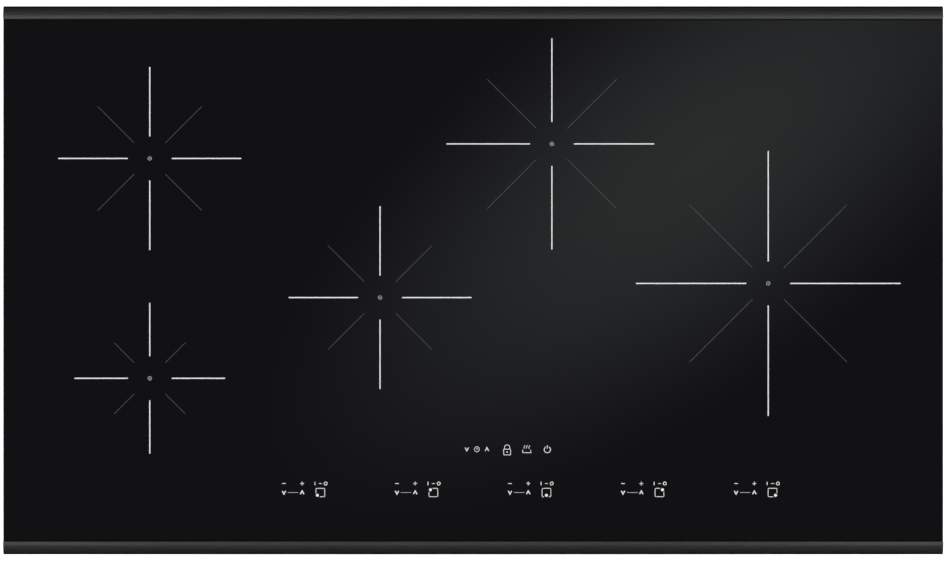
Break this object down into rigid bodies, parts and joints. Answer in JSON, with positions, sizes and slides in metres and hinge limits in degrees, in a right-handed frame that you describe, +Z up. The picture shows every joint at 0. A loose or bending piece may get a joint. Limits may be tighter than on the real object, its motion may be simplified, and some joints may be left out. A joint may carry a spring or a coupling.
{
  "type": "induction cooktop",
  "caption": "Built-in induction cooktop: black glass top with printed zones and a touch field, metal edge trims, steel box with sprung coils, blowers and worktop clamps.",
  "frame": {"origin": "middle of the underside of the burner box, at its lowest level", "axes": "+X to the cook's right along the front trim, +Y to the rear, +Z up out of the glass"},
  "size_m": [0.9302, 0.543, 0.1397],
  "materials": {
    "glass_ceramic": "polished black glass-ceramic",
    "dark_trim": "dark satin anodised",
    "foam": "closed-cell foam tape",
    "zinc_steel": "galvanised sheet",
    "gland_metal": "die-cast, dull",
    "white_plastic": "moulded",
    "bare_aluminium": "mill finish",
    "carrier_plastic": "moulded glass-filled resin",
    "copper_litz": "enamelled litz wire",
    "ferrite": "sintered, matt",
    "mica": "pressed mica sheet",
    "sensor_ceramic": "glazed ceramic",
    "spring_steel": "drawn wire",
    "circuit_board": "solder resist",
    "black_plastic": "moulded",
    "screw_steel": "zinc plated",
    "ribbon": "flat ribbon",
    "wire_sleeve": "braided sleeve"
  },
  "bodies": {
    "hob": {"glass_top": "glass_ceramic", "trim_rear": "dark_trim", "trim_front": "dark_trim", "foam_seal": "foam", "glass_frame": "zinc_steel", "burner_box": "zinc_steel", "junction_cover": "zinc_steel", "conduit_gland": "gland_metal", "terminal_block": "white_plastic", "coil_deck": "bare_aluminium", "coil_spring_left_rear": "spring_steel", "coil_spring_left_front": "spring_steel", "coil_spring_centre_front": "spring_steel", "coil_spring_centre_rear": "spring_steel", "coil_spring_right": "spring_steel", "power_board_left": "circuit_board", "power_board_centre": "circuit_board", "power_board_right": "circuit_board", "heat_sink_left": "bare_aluminium", "heat_sink_centre": "bare_aluminium", "heat_sink_right": "bare_aluminium", "blower_housing_left": "black_plastic", "blower_housing_right": "black_plastic", "control_tray": "white_plastic", "control_board": "circuit_board", "control_cable": "ribbon", "mains_harness": "wire_sleeve", "clamp_bracket_left": "zinc_steel", "clamp_bracket_right": "zinc_steel"},
    "coil_left_rear": {"coil_carrier_left_rear": "carrier_plastic", "coil_winding_left_rear": "copper_litz", "ferrite_bars_left_rear": "ferrite", "mica_disc_left_rear": "mica", "heat_sensor_left_rear": "sensor_ceramic"},
    "coil_left_front": {"coil_carrier_left_front": "carrier_plastic", "coil_winding_left_front": "copper_litz", "ferrite_bars_left_front": "ferrite", "mica_disc_left_front": "mica", "heat_sensor_left_front": "sensor_ceramic"},
    "coil_centre_front": {"coil_carrier_centre_front": "carrier_plastic", "coil_winding_centre_front": "copper_litz", "ferrite_bars_centre_front": "ferrite", "mica_disc_centre_front": "mica", "heat_sensor_centre_front": "sensor_ceramic"},
    "coil_centre_rear": {"coil_carrier_centre_rear": "carrier_plastic", "coil_winding_centre_rear": "copper_litz", "ferrite_bars_centre_rear": "ferrite", "mica_disc_centre_rear": "mica", "heat_sensor_centre_rear": "sensor_ceramic"},
    "coil_right": {"coil_carrier_right": "carrier_plastic", "coil_winding_right": "copper_litz", "ferrite_bars_right": "ferrite", "mica_disc_right": "mica", "heat_sensor_right": "sensor_ceramic"},
    "blower_wheel_left": {"blower_rotor_left": "black_plastic"},
    "foot_left": {"clamp_foot_left": "white_plastic"},
    "screw_left": {"clamp_screw_left": "screw_steel"},
    "blower_wheel_right": {"blower_rotor_right": "black_plastic"},
    "foot_right": {"clamp_foot_right": "white_plastic"},
    "screw_right": {"clamp_screw_right": "screw_steel"}
  },
  "joints": [
    {"name": "coil_float_left_rear", "type": "slide", "parent": "hob", "child": "coil_left_rear", "axis": [0, 0, 1], "range_m": [-0.004, 0], "stiffness_N_per_m": 2000, "springref_m": 0.0085, "deforming": ["coil_spring_left_rear"]},
    {"name": "coil_float_left_front", "type": "slide", "parent": "hob", "child": "coil_left_front", "axis": [0, 0, 1], "range_m": [-0.004, 0], "stiffness_N_per_m": 1500, "springref_m": 0.0075, "deforming": ["coil_spring_left_front"]},
    {"name": "coil_float_centre_front", "type": "slide", "parent": "hob", "child": "coil_centre_front", "axis": [0, 0, 1], "range_m": [-0.004, 0], "stiffness_N_per_m": 2000, "springref_m": 0.0085, "deforming": ["coil_spring_centre_front"]},
    {"name": "coil_float_centre_rear", "type": "slide", "parent": "hob", "child": "coil_centre_rear", "axis": [0, 0, 1], "range_m": [-0.004, 0], "stiffness_N_per_m": 2500, "springref_m": 0.0095, "deforming": ["coil_spring_centre_rear"]},
    {"name": "coil_float_right", "type": "slide", "parent": "hob", "child": "coil_right", "axis": [0, 0, 1], "range_m": [-0.004, 0], "stiffness_N_per_m": 3000, "springref_m": 0.0135, "deforming": ["coil_spring_right"]},
    {"name": "blower_spin_left", "type": "hinge", "parent": "hob", "child": "blower_wheel_left", "pos_m": [-0.247, 0.15, 0.03], "axis": [0, 0, 1], "continuous": true},
    {"name": "blower_spin_right", "type": "hinge", "parent": "hob", "child": "blower_wheel_right", "pos_m": [0.242, 0.15, 0.03], "axis": [0, 0, 1], "continuous": true},
    {"name": "clamp_rise_left", "type": "slide", "parent": "hob", "child": "foot_left", "axis": [0, 0, 1], "range_m": [-0.00635, 0.01905]},
    {"name": "clamp_turn_left", "type": "hinge", "parent": "foot_left", "child": "screw_left", "pos_m": [-0.447, 0, 0.07], "axis": [0, 0, 1], "range_deg": [-1800, 5400]},
    {"name": "clamp_rise_right", "type": "slide", "parent": "hob", "child": "foot_right", "axis": [0, 0, 1], "range_m": [-0.00635, 0.01905]},
    {"name": "clamp_turn_right", "type": "hinge", "parent": "foot_right", "child": "screw_right", "pos_m": [0.447, 0, 0.07], "axis": [0, 0, 1], "range_deg": [-1800, 5400]}
  ],
  "couplings": [
    {"joint": "clamp_turn_left", "follows": "clamp_rise_left", "rad_per_m": 4947.4},
    {"joint": "clamp_turn_right", "follows": "clamp_rise_right", "rad_per_m": 4947.4}
  ]
}
